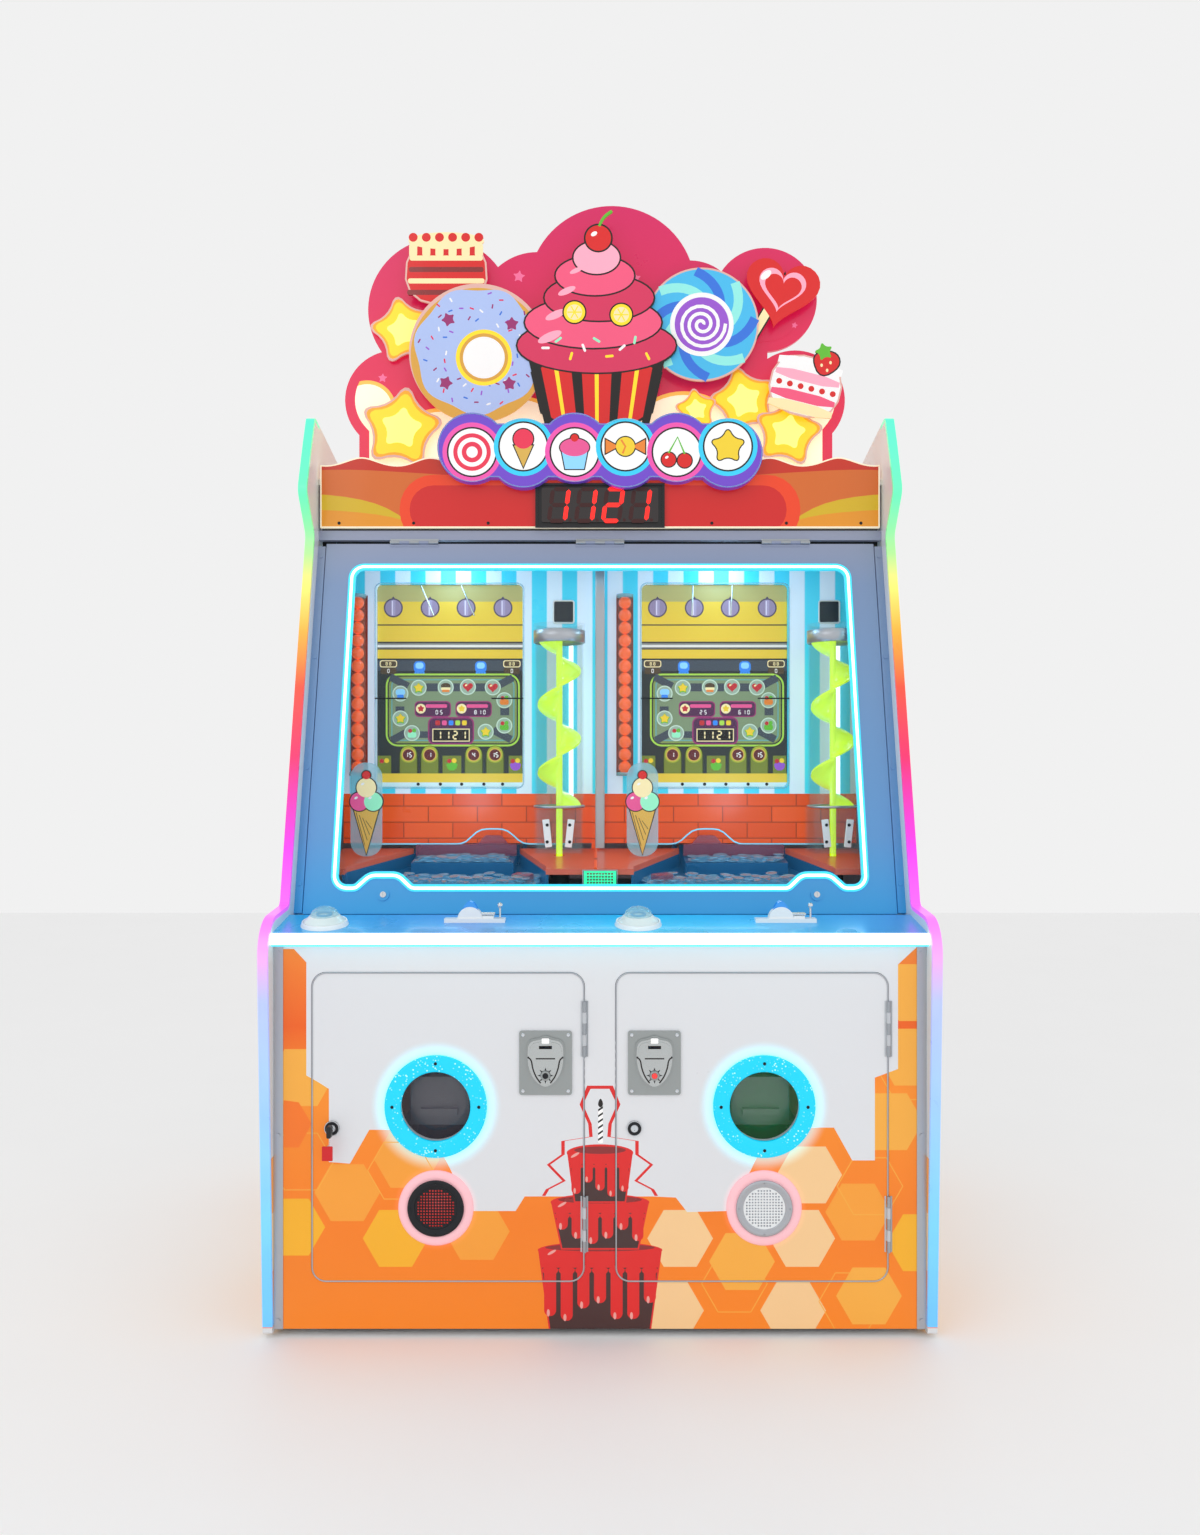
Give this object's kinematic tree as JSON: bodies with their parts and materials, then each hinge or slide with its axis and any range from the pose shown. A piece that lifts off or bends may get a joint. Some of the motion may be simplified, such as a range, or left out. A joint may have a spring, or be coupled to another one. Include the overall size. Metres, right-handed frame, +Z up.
{
  "type": "coin pusher machine",
  "caption": "Arcade coin pusher cabinet with a leaning glass front over two playfields, lit edges, a button console, lower service doors with portholes, and a lobed sign on top.",
  "frame": {"origin": "on the floor, at the middle of the cabinet's width and depth", "axes": "+X to the player's right, +Y from the player towards the cabinet's back, +Z up"},
  "size_m": [1.25, 0.9499, 2.4],
  "materials": {
    "aluminium": "satin anodised",
    "black_plastic": "moulded, fine grain",
    "chrome": "polished",
    "clear_acrylic": "clear polished acrylic",
    "glass": "clear toughened",
    "laminate_white": "gloss laminate over board",
    "light_strip": "frosted diffuser, lit from inside",
    "lime_acrylic": "translucent lime, glossy",
    "orange_balls": "glossy",
    "printed_acrylic": "back-printed gloss",
    "printed_board": "printed gloss board",
    "salmon_board": "satin",
    "screen": "glass-fronted screen",
    "sheet_blue_grey": "satin powder coat",
    "steel": "satin black paint",
    "violet_acrylic": "translucent violet",
    "white_plastic": "translucent moulded",
    "zinc": "satin zinc plate"
  },
  "bodies": {
    "cabinet": {"back_wall": "printed_board", "ball_columns": "orange_balls", "cabinet_frame": "steel", "coin_beds": "violet_acrylic", "coin_rails": "white_plastic", "console_light": "light_strip", "console_top": "sheet_blue_grey", "control_unit": "black_plastic", "corner_trims": "aluminium", "digit_display": "black_plastic", "drive_motors": "steel", "edge_lights": "light_strip", "fixed_hinges": "zinc", "front_panel": "laminate_white", "levelling_feet": "zinc", "lift_housings": "clear_acrylic", "marquee_panel": "printed_board", "monitors": "screen", "play_guides": "violet_acrylic", "playfield_deck": "salmon_board", "rear_panel": "laminate_white", "roof_panel": "laminate_white", "side_panel_left": "laminate_white", "side_panel_right": "laminate_white", "standees": "printed_acrylic", "start_flanges": "white_plastic", "ticket_units": "zinc", "title_plate": "printed_acrylic", "token_hoppers": "steel", "topper_board": "printed_acrylic", "topper_cutout": "printed_acrylic", "window_surround": "sheet_blue_grey"},
    "door_left": {"door_left": "laminate_white", "porthole_left": "clear_acrylic", "speaker_left": "black_plastic", "coin_plate_left": "zinc"},
    "door_lock_left": {"door_lock_left": "chrome"},
    "return_button_left": {"return_button_left": "white_plastic"},
    "start_button_left": {"start_button_left": "white_plastic"},
    "aim_lever_left": {"aim_lever_left": "chrome"},
    "window_lock_left": {"window_lock_left": "chrome"},
    "lift_screw_left": {"lift_screw_left": "lime_acrylic"},
    "pusher_left": {"pusher_left": "aluminium"},
    "crank_left": {"crank_left": "zinc"},
    "door_right": {"door_right": "laminate_white", "porthole_right": "clear_acrylic", "speaker_right": "black_plastic", "coin_plate_right": "zinc"},
    "door_lock_right": {"door_lock_right": "chrome"},
    "return_button_right": {"return_button_right": "white_plastic"},
    "start_button_right": {"start_button_right": "white_plastic"},
    "aim_lever_right": {"aim_lever_right": "chrome"},
    "window_lock_right": {"window_lock_right": "chrome"},
    "lift_screw_right": {"lift_screw_right": "lime_acrylic"},
    "pusher_right": {"pusher_right": "aluminium"},
    "crank_right": {"crank_right": "zinc"},
    "window": {"window_frame": "sheet_blue_grey", "window_glass": "glass", "window_light": "light_strip"},
    "rear_door": {"rear_door": "laminate_white"}
  },
  "joints": [
    {"name": "door_left_hinge", "type": "hinge", "parent": "cabinet", "child": "door_left", "pos_m": [-0.029, -0.4345, 0.39], "axis": [0, 0, 1], "range_deg": [0, 105]},
    {"name": "door_lock_left_turn", "type": "hinge", "parent": "door_left", "child": "door_lock_left", "pos_m": [-0.498, -0.431, 0.388], "axis": [0, -1, 0], "range_deg": [0, 90]},
    {"name": "return_button_left_press", "type": "slide", "parent": "door_left", "child": "return_button_left", "axis": [0, 1, 0], "range_m": [0, 0.003], "stiffness_N_per_m": 400, "springref_m": -0.001},
    {"name": "door_right_hinge", "type": "hinge", "parent": "cabinet", "child": "door_right", "pos_m": [0.536, -0.4345, 0.39], "axis": [0, 0, 1], "range_deg": [0, 105]},
    {"name": "door_lock_right_turn", "type": "hinge", "parent": "door_right", "child": "door_lock_right", "pos_m": [0.064, -0.431, 0.388], "axis": [0, -1, 0], "range_deg": [0, 90]},
    {"name": "return_button_right_press", "type": "slide", "parent": "door_right", "child": "return_button_right", "axis": [0, 1, 0], "range_m": [0, 0.003], "stiffness_N_per_m": 400, "springref_m": -0.001},
    {"name": "start_button_left_press", "type": "slide", "parent": "cabinet", "child": "start_button_left", "axis": [0, 0.1513, -0.9885], "range_m": [0, 0.004], "stiffness_N_per_m": 600, "springref_m": -0.003},
    {"name": "aim_lever_left_tilt", "type": "hinge", "parent": "cabinet", "child": "aim_lever_left", "pos_m": [-0.1915, -0.362, 0.76794], "axis": [0, 1, 0], "range_deg": [-18, 18]},
    {"name": "start_button_right_press", "type": "slide", "parent": "cabinet", "child": "start_button_right", "axis": [0, 0.1513, -0.9885], "range_m": [0, 0.004], "stiffness_N_per_m": 600, "springref_m": -0.003},
    {"name": "aim_lever_right_tilt", "type": "hinge", "parent": "cabinet", "child": "aim_lever_right", "pos_m": [0.4035, -0.362, 0.76794], "axis": [0, 1, 0], "range_deg": [-18, 18]},
    {"name": "window_hinge", "type": "hinge", "parent": "cabinet", "child": "window", "pos_m": [0, -0.08287, 1.54311], "axis": [-1, 0, 0], "range_deg": [0, 70]},
    {"name": "window_lock_left_turn", "type": "hinge", "parent": "window", "child": "window_lock_left", "pos_m": [-0.431, -0.27697, 0.8052], "axis": [0, -0.9659, 0.2588], "range_deg": [0, 90]},
    {"name": "window_lock_right_turn", "type": "hinge", "parent": "window", "child": "window_lock_right", "pos_m": [0.431, -0.27697, 0.8052], "axis": [0, -0.9659, 0.2588], "range_deg": [0, 90]},
    {"name": "rear_door_hinge", "type": "hinge", "parent": "cabinet", "child": "rear_door", "pos_m": [-0.261, 0.4705, 0.49], "axis": [0, 0, 1], "range_deg": [0, 110]},
    {"name": "lift_screw_left_spin", "type": "hinge", "parent": "cabinet", "child": "lift_screw_left", "pos_m": [-0.0885, -0.056, 0.972], "axis": [0, 0, 1], "continuous": true},
    {"name": "pusher_left_stroke", "type": "slide", "parent": "cabinet", "child": "pusher_left", "axis": [0, -0.9928, -0.1201], "range_m": [0, 0.045]},
    {"name": "crank_left_spin", "type": "hinge", "parent": "cabinet", "child": "crank_left", "pos_m": [-0.2975, 0.23268, 0.85894], "axis": [0, -0.1201, 0.9928], "continuous": true},
    {"name": "lift_screw_right_spin", "type": "hinge", "parent": "cabinet", "child": "lift_screw_right", "pos_m": [0.5065, -0.056, 0.972], "axis": [0, 0, 1], "continuous": true},
    {"name": "pusher_right_stroke", "type": "slide", "parent": "cabinet", "child": "pusher_right", "axis": [0, -0.9928, -0.1201], "range_m": [0, 0.045]},
    {"name": "crank_right_spin", "type": "hinge", "parent": "cabinet", "child": "crank_right", "pos_m": [0.2975, 0.23268, 0.85894], "axis": [0, -0.1201, 0.9928], "continuous": true}
  ]
}
